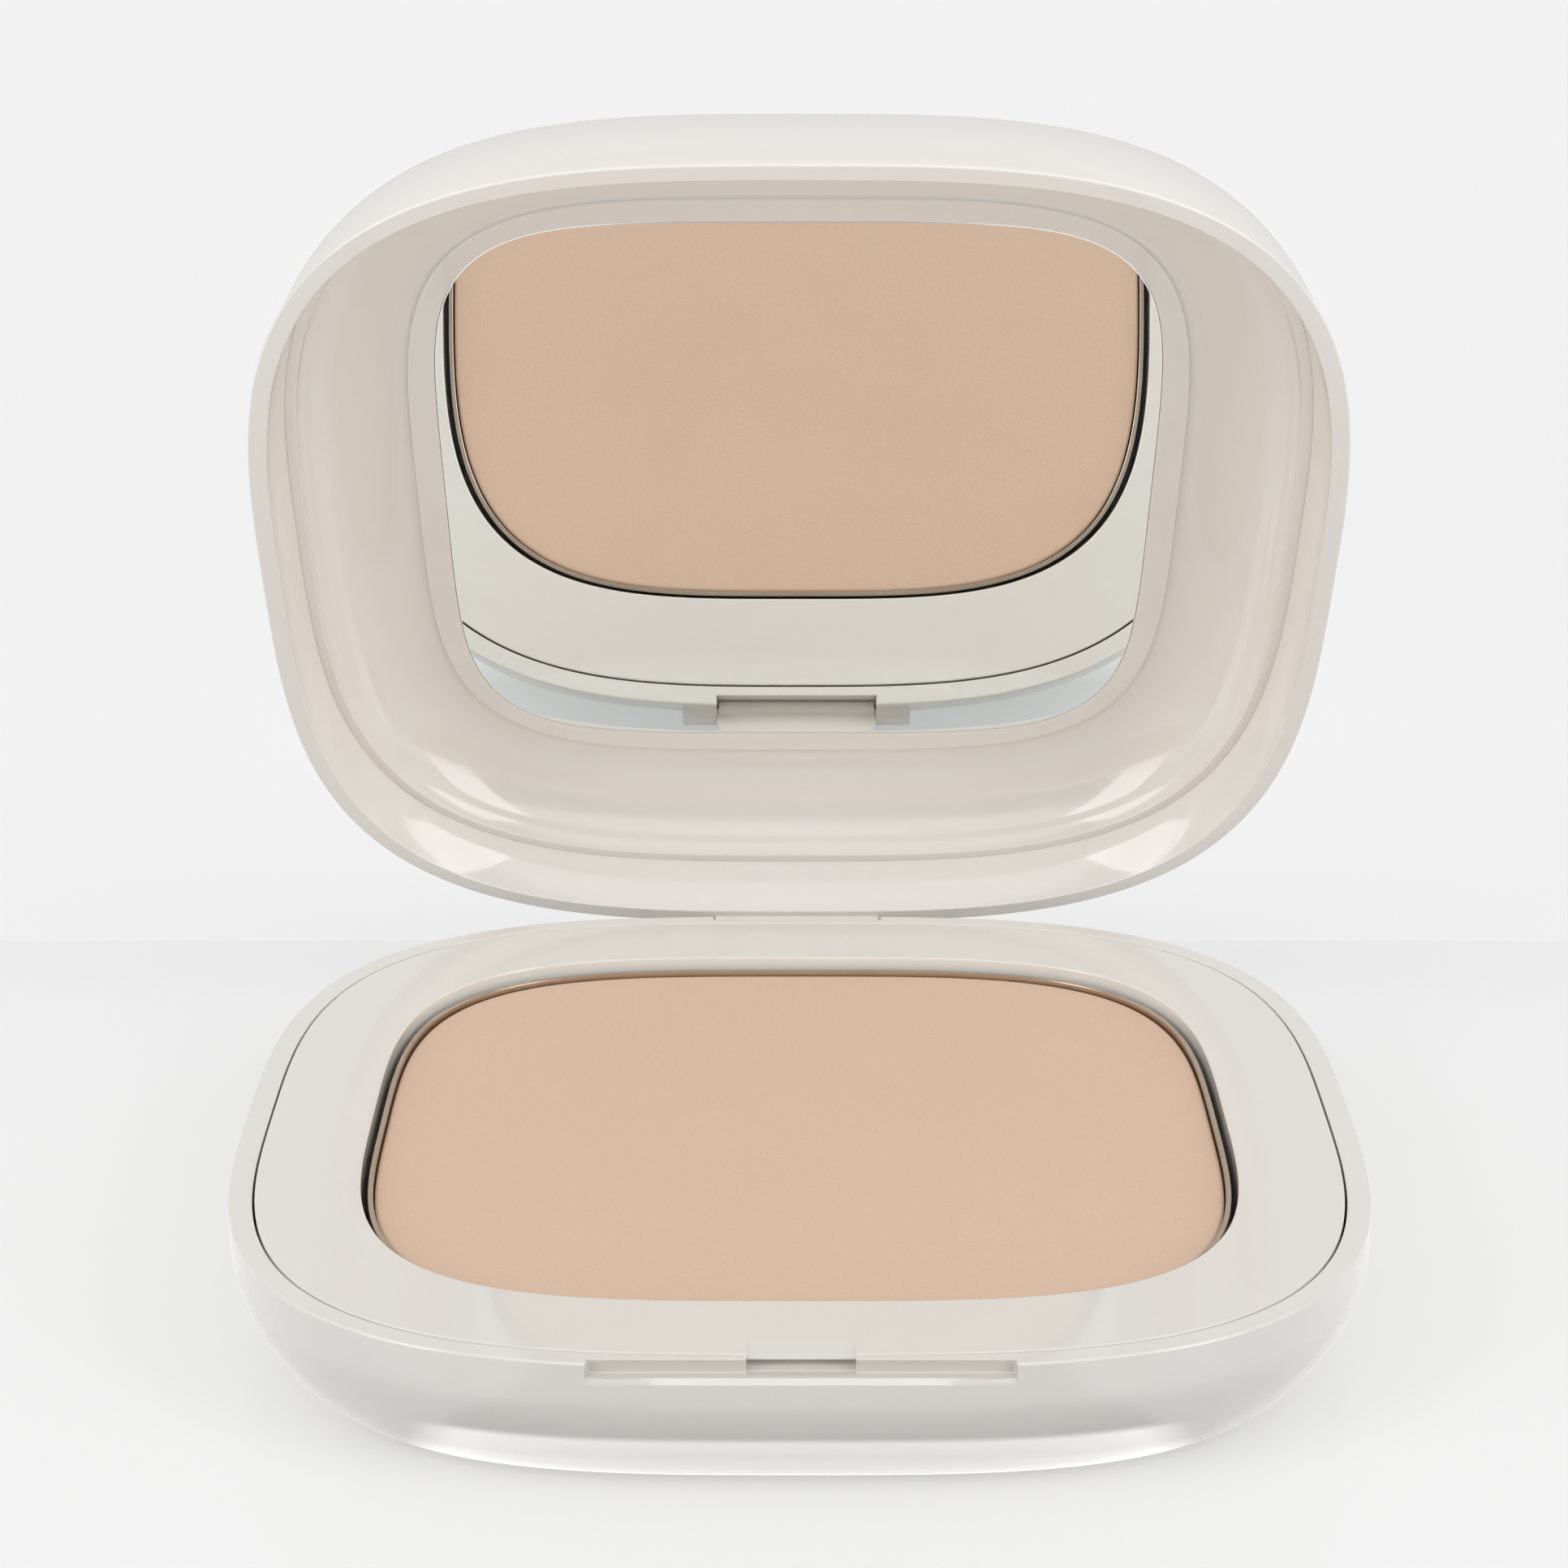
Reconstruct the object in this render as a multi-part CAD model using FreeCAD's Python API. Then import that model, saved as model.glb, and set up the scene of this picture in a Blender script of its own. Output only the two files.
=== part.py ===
import FreeCAD, Part
import math, os
from FreeCAD import Vector

# Powder compact with a hinged mirror lid, shown with the lid part open.
# Origin: centre of the flat resting face. +Z up, the front (thumb slot) faces -Y,
# the hinge is at +Y and its axis runs along X. Millimetres.
# "Depth" is measured down from the base's rim plane, "height" of a lid part up from it
# with the lid closed. Superellipses are (half x, half y, exponent).

os.makedirs("parts", exist_ok=True)

# ---------------------------------------------------------------- shared dimensions
HALF = 40.0                      # half width and half depth of base and lid at the rim
OUTER = (HALF, HALF, 3.147)
OUTLINE_POINTS = 72
RIM_Z = 11.0                     # base's rim plane above the resting face
CUT_OVER = 1.0                   # how far cutters run past an open face
CUT_Y = 44.0                     # y distance where outward cutters end

# ---------------------------------------------------------------- base dimensions
BASE_STRAIGHT = 2.75             # straight part of the side wall
BASE_ROUND_RUN = 6.3             # how far the side wall rounds in at the bottom
BASE_ROUND_K = 1.54              # squareness of that rounding
BASE_STEPS = [0.0, 0.16, 0.30, 0.44, 0.58, 0.72, 0.86, 1.0]
BASE_WALL = 1.70                 # wall below the seat
FLOOR_T = 1.4
SEAT = (38.30, 38.36, 3.257)     # inner edge of the rim
SEAT_MID_D = 1.2                 # depth of the seat's middle section
SLOT_HALF = 13.5                 # thumb slot half width
SLOT_BACK = 38.91                # slot back face, distance from centre
SLOT_D = 0.96
SLOT_Z = RIM_Z - SLOT_D          # slot floor
SLOT_BEVEL = 0.32                # bevel round the slot's mouth
BEVEL_RUN = 0.38                 # bevel of the slot floor, back from the front face
BEVEL_CUT = 2.0                  # length of the cutter for that bevel
MOUTH_BACK = 39.45               # back of the slot's wider mouth, distance from centre
NAIL_HALF = 3.46                 # nail recess half width
NAIL_BACK = 37.6                 # back of the recess in the base, distance from centre
POST_XY = 22.0                   # tray posts
POST_R = 2.2
POST_GAP = 0.06                  # post top to well underside
POST_SINK = 0.3                  # overlap with the floor

# ---------------------------------------------------------------- tray, pan and powder
TRAY = (38.15, 38.20, 3.257)     # outer edge
OPENING = (30.85, 30.63, 3.63)   # well opening
TRAY_T = 1.2                     # plate thickness
SKIRT_T = 1.0
SKIRT_D = 2.4                    # skirt bottom depth
WELL_T = 1.0                     # wall and floor thickness
WELL_D = 7.0
WELL_WALL_TOP_D = 0.4            # well wall ends inside the plate
LIP_T = 0.38                     # lip underside depth
LIP_SIDE = 1.0                   # backing block beyond each side of the nail pocket
LIP_BLOCK_FRONT = 37.4           # distance from centre
LIP_BLOCK_BACK = 0.9             # block thickness behind the pocket
LIP_BLOCK_OVERLAP = 0.4          # block's overlap with the plate
LIP_BEVEL_START = 36.10          # distance from centre
LIP_BEVEL_DROP = 0.22            # drop at the tray's edge
LIP_CUT_Y = 39.0                 # where the lip cutters end
SCOOP_BACK = 36.90               # back of the pocket under the lip, distance from centre
PAN_GAP = 0.43                   # gap between well and pan
PAN_T = 0.38                     # pan wall
PAN_FLOOR_T = 0.5
PAN_TOP_D = 0.85
PAN_BOTTOM_D = 6.85
CAKE_GAP = 0.08                  # powder edge to pan wall
CAKE_LIFT = 0.02                 # powder above the pan floor
CAKE_TOP_D = 1.22
PAD_HALF = 22.0
PAD_GAP = 0.01                   # clearance above and below each pad

# ---------------------------------------------------------------- hinge dimensions
AXIS_Y = 39.96
AXIS_Z = RIM_Z - 3.22
PIN_R = 0.60
PIN_CHAMFER = 0.12
PIN_INSET = 0.15                 # pin ends inside the ears' outer faces
RUN_CLEAR = 0.04                 # radial running clearance on the pin
KNUCKLE_R = 1.15                 # barrel radius round the pin
KNUCKLE_HALF = 6.75
NOTCH_HALF = 6.90                # hinge notch half width
NOTCH_FACE = 39.10               # notch front face
NOTCH_CLEAR = 0.15               # round the barrel
EAR_OUT = 9.90                   # outer face of the base's hinge ears
EAR_FRONT = 38.6
EAR_UP = 1.9                     # ear top above the axis
EAR_DOWN = 3.0                   # ear and block bottom below the axis
BLOCK_Y = (36.9, 38.75)          # front and back of the block inside the back wall
BLOCK_GAP = 0.15                 # block top to tray skirt
ARM_FACE = 39.25                 # front face of the lid's hinge arm
ARM_TOP = 2.4                    # above the rim plane

# ---------------------------------------------------------------- lid dimensions
LID_GAP = 0.10                   # lid rim above base rim when closed
LID_H = 13.4
LID_STRAIGHT = 0.10              # height where the rounding starts
LID_ROUND_RUN = 8.85
LID_ROUND_K = 1.68
LID_STEPS = [0.10, 0.22, 0.34, 0.46, 0.58, 0.70, 0.80, 0.90, 1.0]
LID_LAST_STEP = 0.35             # a section closer than this to the top becomes the top
LID_WALL = 1.35                  # inset of the inside
LID_SKIN = 1.15                  # thickness of the top
RIM_CUT = 0.5                    # lid cavity cutter past the lid's rim
OPEN_DEG = 59.34

MIRROR = (26.94, 27.09, 4.87)    # mirror glass
MIRROR_DY = 0.54                 # mirror centre, towards the hinge
MIRROR_FACE = 10.09              # glass face height
MIRROR_T = 1.0
MIRROR_BACK = MIRROR_FACE + MIRROR_T
MIRROR_GAP = 0.08                # round the glass
MIRROR_PAD_HALF = 24.0
LINER_T = 0.55                   # liner wall above the pocket
POCKET_START = 9.0               # height where the pocket cutter starts
POCKET_TOP = MIRROR_BACK + 0.26  # leaves room for the pad
LINER_TOP = POCKET_TOP + LINER_T
LEDGE_H = 4.70                   # liner edge height
LEDGE_IN = 36.90                 # inner edge of the liner's flange
BOWL_H = 10.30                   # deepest part of the liner's bowl
BOWL_STEPS = (0.12, 0.26, 0.40, 0.54, 0.68, 0.82, 0.92, 1.0)
BEZEL = (29.08, 29.18, 4.09)     # raised border round the mirror
BEZEL_FOOT = 0.5                 # bowl's end outside the border
BEZEL_FACE = MIRROR_FACE - 0.05
BEZEL_OVERLAP = 0.3              # border's overlap with the liner
# Liner sections: height, gap to the shell's inside
LINER_SECTIONS = [(LEDGE_H, 0.10), (5.6, 0.10), (6.6, 0.10), (7.7, 0.12),
                  (8.8, 0.14), (9.8, 0.2), (10.7, 0.6)]
LINER_TOP_FIT = (11.3, 1.6)      # height and gap that size the top section


# ---------------------------------------------------------------- shape helpers
def outline(half_x, half_y, power, inset=0.0, centre_y=0.0):
    """Points of a superellipse, moved inwards along its normals by inset."""
    points = []
    for i in range(OUTLINE_POINTS):
        angle = 2 * math.pi * i / OUTLINE_POINTS
        c, s = math.cos(angle), math.sin(angle)
        radius = (abs(c / half_x) ** power + abs(s / half_y) ** power) ** (-1.0 / power)
        x, y = radius * c, radius * s
        normal_x = math.copysign(abs(x / half_x) ** (power - 1) / half_x, x)
        normal_y = math.copysign(abs(y / half_y) ** (power - 1) / half_y, y)
        length = math.hypot(normal_x, normal_y)
        points.append((x - inset * normal_x / length,
                       y - inset * normal_y / length + centre_y))
    return points


def resized(shape, shrink):
    """Superellipse with both half sizes reduced by shrink."""
    half_x, half_y, power = shape
    return half_x - shrink, half_y - shrink, power


def ring(points, z):
    curve = Part.BSplineCurve()
    curve.interpolate([Vector(x, y, z) for x, y in points], PeriodicFlag=True)
    return Part.Wire(curve.toShape())


def prism(points, z0, z1):
    return Part.Face(ring(points, z0)).extrude(Vector(0, 0, z1 - z0))


def loft(sections, ruled=False):
    solid = Part.makeLoft([ring(points, z) for points, z in sections], True, ruled)
    if solid.Volume < 0:
        solid.reverse()
    return solid


def box(half_x, y0, y1, z0, z1):
    return Part.makeBox(2 * half_x, y1 - y0, z1 - z0, Vector(-half_x, y0, z0))


def axis_cylinder(radius, half_x):
    """Cylinder on the hinge axis."""
    return Part.makeCylinder(radius, 2 * half_x, Vector(-half_x, AXIS_Y, AXIS_Z),
                             Vector(1, 0, 0))


def slab(profile, x0, x1):
    """Closed (y, z) profile extruded along X."""
    wire = Part.makePolygon([Vector(x0, y, z) for y, z in profile + profile[:1]])
    return Part.Face(wire).extrude(Vector(x1 - x0, 0, 0))


def barrel_arc(degrees):
    """(y, z) points on the barrel; 0 degrees is +Y, 90 is +Z."""
    return [(AXIS_Y + KNUCKLE_R * math.cos(math.radians(d)),
             AXIS_Z + KNUCKLE_R * math.sin(math.radians(d))) for d in degrees]


def rounding(t, run, rise, squareness):
    """(inset, rise) on a rounded corner, t from 0 at the wall to 1 at the flat."""
    angle = t * math.pi / 2
    return (run * (1 - math.cos(angle) ** (2 / squareness)),
            rise * math.sin(angle) ** (2 / squareness))


def save(name, shape):
    shape = shape.removeSplitter()
    solids = shape.Solids
    assert len(solids) == 1 and solids[0].isValid(), (name, len(solids))
    solids[0].exportStep("parts/%s.step" % name)


# ---------------------------------------------------------------- base shell
def base_corner(t):
    """(inset, z) on the base's bottom rounding."""
    inset, drop = rounding(t, BASE_ROUND_RUN, RIM_Z - BASE_STRAIGHT, BASE_ROUND_K)
    return inset, RIM_Z - BASE_STRAIGHT - drop


def base_blank():
    sections = [(outline(*OUTER), RIM_Z), (outline(*OUTER), RIM_Z - BASE_STRAIGHT * 0.5)]
    for t in BASE_STEPS:
        inset, z = base_corner(t)
        sections.append((outline(*OUTER, inset), z))
    return loft(sections)


def base_hollow():
    """Straight seat for the tray, then a wall that follows the outside."""
    sections = [(outline(*SEAT), z)
                for z in (RIM_Z + CUT_OVER, RIM_Z - SEAT_MID_D, RIM_Z - BASE_STRAIGHT)]
    for t in BASE_STEPS[2:-1]:
        inset, z = base_corner(t)
        z = max(z, FLOOR_T)
        sections.append((outline(*OUTER, BASE_WALL + inset), z))
        if z <= FLOOR_T:
            break
    return loft(sections)


def base_shell():
    body = base_blank().cut(base_hollow())

    # Ears that carry the pin, and a block inside the wall in front of the notch
    ear = [(EAR_FRONT, AXIS_Z + EAR_UP), (39.85, AXIS_Z + EAR_UP)]
    ear += barrel_arc(range(60, -76, -15))
    ear += [(39.55, AXIS_Z - EAR_DOWN), (EAR_FRONT, AXIS_Z - EAR_DOWN)]
    for x0, x1 in ((-EAR_OUT, -NOTCH_HALF), (NOTCH_HALF, EAR_OUT)):
        body = body.fuse(slab(ear, x0, x1))
    body = body.fuse(box(EAR_OUT, *BLOCK_Y, AXIS_Z - EAR_DOWN, RIM_Z - SKIRT_D - BLOCK_GAP))

    # Hinge notch, open at the top and back, with room for the lid's barrel
    room_r = KNUCKLE_R + NOTCH_CLEAR
    notch = box(NOTCH_HALF, NOTCH_FACE, CUT_Y, AXIS_Z - room_r, RIM_Z + CUT_OVER)
    body = body.cut(notch.fuse(axis_cylinder(room_r, NOTCH_HALF)))
    body = body.cut(axis_cylinder(PIN_R, EAR_OUT + CUT_OVER))

    # Thumb slot with a bevelled mouth
    top = RIM_Z + CUT_OVER
    mouth_half = SLOT_HALF + SLOT_BEVEL
    slot = box(SLOT_HALF, -CUT_Y, -SLOT_BACK, SLOT_Z, top)
    bevel_y = -(HALF - BEVEL_RUN)
    bevel = [(bevel_y, SLOT_Z + 0.001), (bevel_y - BEVEL_CUT, SLOT_Z + 0.001),
             (bevel_y - BEVEL_CUT, SLOT_Z - BEVEL_CUT * SLOT_BEVEL / BEVEL_RUN)]
    slot = slot.fuse(slab(bevel, -mouth_half, mouth_half))
    slot = slot.fuse(box(mouth_half, -CUT_Y, -MOUTH_BACK, SLOT_Z, top))
    body = body.cut(slot)
    # Nail recess through the rim strip in the middle of the slot
    body = body.cut(box(NAIL_HALF, -SLOT_BACK - 0.2, -NAIL_BACK, SLOT_Z, top))

    # Four posts under the tray's well
    start = FLOOR_T - POST_SINK
    height = RIM_Z - WELL_D - WELL_T - POST_GAP - start
    for y in (POST_XY, -POST_XY):
        for x in (POST_XY, -POST_XY):
            body = body.fuse(Part.makeCylinder(POST_R, height, Vector(x, y, start)))
    return body


# ---------------------------------------------------------------- refill tray
def refill_tray():
    plate_z = RIM_Z - TRAY_T
    skirt_z = RIM_Z - SKIRT_D
    tray = prism(outline(*TRAY), skirt_z, RIM_Z).cut(
        prism(outline(*TRAY, SKIRT_T), skirt_z - CUT_OVER, plate_z))
    tray = tray.fuse(prism(outline(*OPENING, -WELL_T),
                           RIM_Z - WELL_D - WELL_T, RIM_Z - WELL_WALL_TOP_D))
    tray = tray.cut(prism(outline(*OPENING), RIM_Z - WELL_D, RIM_Z + CUT_OVER))

    # Lifting lip at the front: bevelled on top, with a nail pocket underneath that is
    # level with the thumb slot's floor and closed at the back and below
    tray = tray.fuse(box(NAIL_HALF + LIP_SIDE, -LIP_BLOCK_FRONT,
                         -SCOOP_BACK + LIP_BLOCK_BACK, skirt_z, plate_z + LIP_BLOCK_OVERLAP))
    slope = LIP_BEVEL_DROP / (TRAY[1] - LIP_BEVEL_START)
    bevel = [(-LIP_BEVEL_START, RIM_Z), (-LIP_BEVEL_START, RIM_Z + CUT_OVER),
             (-LIP_CUT_Y, RIM_Z + CUT_OVER),
             (-LIP_CUT_Y, RIM_Z - slope * (LIP_CUT_Y - LIP_BEVEL_START))]
    tray = tray.cut(slab(bevel, -NAIL_HALF, NAIL_HALF))
    return tray.cut(box(NAIL_HALF, -LIP_CUT_Y, -SCOOP_BACK, SLOT_Z, RIM_Z - LIP_T))


# ---------------------------------------------------------------- pan, powder and pad
PAN = resized(OPENING, PAN_GAP)
CAKE = resized(PAN, PAN_T + CAKE_GAP)
PAN_Z = RIM_Z - PAN_BOTTOM_D
CAKE_Z = RIM_Z - CAKE_TOP_D


def inset_loft(shape, stations):
    """Ruled loft through (inset, z) stations."""
    return loft([(outline(*shape, inset), z) for inset, z in stations], True)


def powder_pan():
    pan = inset_loft(PAN, [(0.70, PAN_Z), (0.30, PAN_Z + 0.12), (0.08, PAN_Z + 0.36),
                           (0.0, PAN_Z + 0.75), (0.0, RIM_Z - PAN_TOP_D)])
    return pan.cut(prism(outline(*PAN, PAN_T), PAN_Z + PAN_FLOOR_T, RIM_Z))


def powder_cake():
    return inset_loft(CAKE, [(0.0, PAN_Z + PAN_FLOOR_T + CAKE_LIFT), (0.0, CAKE_Z - 0.22),
                             (0.08, CAKE_Z - 0.08), (0.30, CAKE_Z)])


def pan_pad():
    return prism(outline(PAD_HALF, PAD_HALF, PAN[2]),
                 RIM_Z - WELL_D + PAD_GAP, PAN_Z - PAD_GAP)


# ---------------------------------------------------------------- hinge pin
def hinge_pin():
    pin = axis_cylinder(PIN_R, EAR_OUT - PIN_INSET)
    rims = [edge for edge in pin.Edges
            if edge.Length < 2 * math.pi * PIN_R + 0.1 and edge.Closed]
    return pin.makeChamfer(PIN_CHAMFER, rims)


# ---------------------------------------------------------------- lid, built closed
def opened(shape):
    turned = shape.copy()
    turned.rotate(Vector(0, AXIS_Y, AXIS_Z), Vector(1, 0, 0), -OPEN_DEG)
    return turned


def lid_sections(extra, top):
    """Sections above the rim, inset by extra and ending at height top."""
    sections = []
    for t in LID_STEPS:
        inset, rise = rounding(t, LID_ROUND_RUN, LID_H - LID_STRAIGHT, LID_ROUND_K)
        height = LID_STRAIGHT + rise
        last = height >= top - LID_LAST_STEP
        sections.append((outline(*OUTER, extra + inset), RIM_Z + (top if last else height)))
        if last:
            break
    return sections


def lid_shell():
    rim_z = RIM_Z + LID_GAP
    shell = loft([(outline(*OUTER), rim_z)] + lid_sections(0.0, LID_H))
    wall = outline(*OUTER, LID_WALL)
    shell = shell.cut(loft([(wall, rim_z - RIM_CUT), (wall, rim_z)]
                           + lid_sections(LID_WALL, LID_H - LID_SKIN)))

    # Hinge arm and barrel below the back wall
    arm = [(ARM_FACE, rim_z + 0.6), (ARM_FACE, AXIS_Z), (AXIS_Y - KNUCKLE_R, AXIS_Z)]
    arm += barrel_arc(range(195, 361, 15))
    arm += [(AXIS_Y + KNUCKLE_R - 0.05, AXIS_Z + 0.9), (40.45, RIM_Z + 0.9),
            (39.9, RIM_Z + ARM_TOP), (ARM_FACE, RIM_Z + ARM_TOP)]
    hinge = slab(arm, -KNUCKLE_HALF, KNUCKLE_HALF)
    hinge = hinge.fuse(axis_cylinder(KNUCKLE_R, KNUCKLE_HALF))
    hinge = hinge.cut(box(8, 36, ARM_FACE, AXIS_Z + KNUCKLE_R, RIM_Z + 5))
    shell = shell.fuse(hinge)
    return shell.cut(axis_cylinder(PIN_R + RUN_CLEAR, KNUCKLE_HALF + CUT_OVER))


def fit_inside(height, gap):
    """Outline that clears the shell's inside by gap at a height."""
    rise = (height - LID_STRAIGHT) / (LID_H - LID_STRAIGHT)
    t = math.asin(rise ** (LID_ROUND_K / 2)) / (math.pi / 2)
    inset = rounding(t, LID_ROUND_RUN, 1, LID_ROUND_K)[0]
    return outline(*OUTER, LID_WALL + inset + gap)


def mirror_outline(shape):
    return outline(*shape, 0, MIRROR_DY)


def bowl():
    """Cutter that runs as a quarter ellipse from the flange to the border's foot."""
    edge = outline(*OUTER, HALF - LEDGE_IN)
    foot = mirror_outline(resized(BEZEL, -BEZEL_FOOT))
    sections = [(edge, RIM_Z + LEDGE_H - 0.001)]
    for t in BOWL_STEPS:
        angle = t * math.pi / 2
        mix = 1 - math.cos(angle)
        points = [(x0 + (x1 - x0) * mix, y0 + (y1 - y0) * mix)
                  for (x0, y0), (x1, y1) in zip(edge, foot)]
        sections.append((points, RIM_Z + LEDGE_H + (BOWL_H - LEDGE_H) * math.sin(angle)))
    return loft(sections)


def mirror_frame():
    """Flange, bowl and raised border in one piece, with a pocket for the glass."""
    sections = [(fit_inside(height, gap), RIM_Z + height) for height, gap in LINER_SECTIONS]
    sections.append((fit_inside(*LINER_TOP_FIT), RIM_Z + LINER_TOP))
    liner = loft(sections).cut(bowl())
    liner = liner.fuse(prism(mirror_outline(BEZEL),
                             RIM_Z + BEZEL_FACE, RIM_Z + BOWL_H + BEZEL_OVERLAP))
    return liner.cut(prism(mirror_outline(resized(MIRROR, -MIRROR_GAP)),
                           RIM_Z + POCKET_START, RIM_Z + POCKET_TOP))


def mirror_glass():
    return prism(mirror_outline(MIRROR), RIM_Z + MIRROR_FACE, RIM_Z + MIRROR_BACK)


def mirror_pad():
    return prism(mirror_outline((MIRROR_PAD_HALF, MIRROR_PAD_HALF, MIRROR[2])),
                 RIM_Z + MIRROR_BACK + PAD_GAP, RIM_Z + POCKET_TOP - PAD_GAP)


for build in (base_shell, refill_tray, powder_pan, powder_cake, pan_pad, hinge_pin):
    save(build.__name__, build())
for build in (lid_shell, mirror_frame, mirror_glass, mirror_pad):
    save(build.__name__, opened(build()))
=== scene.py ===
import math
import bpy
import bmesh
import numpy as np
from mathutils import Matrix, Vector
from mathutils.bvhtree import BVHTree


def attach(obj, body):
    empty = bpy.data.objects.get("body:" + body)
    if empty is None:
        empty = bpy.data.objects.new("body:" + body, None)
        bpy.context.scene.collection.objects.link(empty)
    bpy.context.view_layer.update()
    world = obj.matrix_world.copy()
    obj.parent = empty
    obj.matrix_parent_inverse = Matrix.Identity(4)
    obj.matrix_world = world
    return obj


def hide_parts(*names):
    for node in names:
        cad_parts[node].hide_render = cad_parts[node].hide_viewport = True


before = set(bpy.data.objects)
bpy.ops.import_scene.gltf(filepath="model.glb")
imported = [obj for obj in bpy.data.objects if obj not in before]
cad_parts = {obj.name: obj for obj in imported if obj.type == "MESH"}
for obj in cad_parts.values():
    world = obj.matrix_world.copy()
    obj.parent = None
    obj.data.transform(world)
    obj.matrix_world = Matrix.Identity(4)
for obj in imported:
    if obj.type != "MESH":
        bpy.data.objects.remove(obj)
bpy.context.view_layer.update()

MM = 0.001

# ------------------------------------------------------------------ dimensions, millimetres, as in the CAD
HALF, N_OUT, RZ = 40.0, 3.147, 11.0
BASE_STRAIGHT, BASE_ROUND_R, BASE_ROUND_K, FLOOR_T = 2.75, 6.3, 1.54, 1.4
SEAT, TRAY, OPENING = (38.30, 38.36, 3.257), (38.15, 38.20, 3.257), (30.85, 30.63, 3.63)
TRAY_T, SKIRT_T, SKIRT_D, WELL_T, WELL_D = 1.2, 1.0, 2.4, 1.0, 7.0
PAN_GAP, PAN_T, PAN_TOP, PAN_BOTTOM, CAKE_GAP, CAKE_TOP = 0.43, 0.38, 0.85, 6.85, 0.08, 1.22
SLOT_HALF, SLOT_BACK, SLOT_D, SLOT_BEVEL, NAIL_HALF = 13.5, 38.91, 0.96, 0.32, 3.46
LIP_T, SCOOP_BACK = 0.38, 36.90
NOTCH_HALF, NOTCH_FACE, AXIS_Y, AXIS_Z = 6.90, 39.10, 39.96, 7.78
PIN_R, KNUCKLE_R, KNUCKLE_HALF, RUN_CLEAR, EAR_OUT = 0.60, 1.15, 6.75, 0.04, 9.90
LID_GAP, LID_H, LID_STRAIGHT, LID_ROUND_R, LID_ROUND_K = 0.10, 13.4, 0.10, 8.85, 1.68
LID_WALL, LID_SKIN, LEDGE_H, LEDGE_IN, BOWL_H = 1.35, 1.15, 4.70, 36.90, 10.30
BEZEL, MIRROR, MIRROR_DY = (29.08, 29.18, 4.09), (26.94, 27.09, 4.87), 0.54
MIRROR_FACE, MIRROR_T, OPEN_DEG = 10.09, 1.0, 59.34
SEG = 480          # points round each outline


# ------------------------------------------------------------------ geometry helpers
def outline(a, b, n, off=0.0, cy=0.0, m=None):
    m = m or SEG
    t = 2 * np.pi * np.arange(m) / m
    c, s = np.cos(t), np.sin(t)
    r = (np.abs(c / a) ** n + np.abs(s / b) ** n) ** (-1.0 / n)
    x, y = r * c, r * s
    nx = np.sign(x) * np.abs(x / a) ** (n - 1) / a
    ny = np.sign(y) * np.abs(y / b) ** (n - 1) / b
    l = np.hypot(nx, ny)
    return np.column_stack([x - off * nx / l, y - off * ny / l + cy])


def out_line(inset):
    return outline(HALF, HALF, N_OUT, inset)


def rounding(t, run, rise, k):
    a = t * math.pi / 2
    return run * (1 - max(math.cos(a), 0.0) ** (2 / k)), rise * math.sin(a) ** (2 / k)


def at(xy, z):
    return np.column_stack([xy, np.full(len(xy), float(z))])


def arc(n, a0=0.0, a1=90.0):
    return [math.radians(a0 + (a1 - a0) * i / n) for i in range(n + 1)]


def disc(xy, z, n, centre=(0.0, 0.0), inner=0.04):
    """Rings from near the centre out to xy, at a constant height."""
    c = np.array(centre)
    return [at(c + (xy - c) * f, z) for f in np.linspace(inner, 1.0, n + 1)]


def opened(co):
    """Lid coordinates, closed frame, to the open rest pose."""
    a = math.radians(-OPEN_DEG)
    y, z = co[:, 1] - AXIS_Y, co[:, 2] - AXIS_Z
    out = co.copy()
    out[:, 1] = AXIS_Y + y * math.cos(a) - z * math.sin(a)
    out[:, 2] = AXIS_Z + y * math.sin(a) + z * math.cos(a)
    return out


def mesh_from(name, co, faces, sharp=32.0):
    me = bpy.data.meshes.new(name)
    me.from_pydata((np.asarray(co, float) * MM).tolist(), [], faces)
    me.update()
    bm = bmesh.new()
    bm.from_mesh(me)
    bmesh.ops.remove_doubles(bm, verts=bm.verts, dist=1e-8)
    bmesh.ops.recalc_face_normals(bm, faces=bm.faces)
    bm.to_mesh(me)
    bm.free()
    me.shade_smooth()
    me.set_sharp_from_angle(angle=math.radians(sharp))
    ob = bpy.data.objects.new(name, me)
    bpy.context.scene.collection.objects.link(ob)
    return ob


def skin(name, rings, cap0=None, cap1=None, loop=False, sharp=32.0, move=None):
    """A closed surface through rings that all have the same number of points."""
    n = len(rings[0])
    co = np.vstack(rings)
    faces = []
    i = np.arange(n)
    j = (i + 1) % n
    last = len(rings) if loop else len(rings) - 1
    for k in range(last):
        a, b = k * n, ((k + 1) % len(rings)) * n
        faces += np.column_stack([a + i, a + j, b + j, b + i]).tolist()
    extra = []
    if cap0 is not None:
        extra.append(cap0)
        c = len(co)
        faces += [[c, int(q), int(p)] for p, q in zip(i, j)]
    if cap1 is not None:
        c = len(co) + len(extra)
        extra.append(cap1)
        a = (len(rings) - 1) * n
        faces += [[c, int(a + p), int(a + q)] for p, q in zip(i, j)]
    if extra:
        co = np.vstack([co, np.array(extra, float)])
    if move:
        co = move(co)
    return mesh_from(name, co, faces, sharp)


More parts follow.
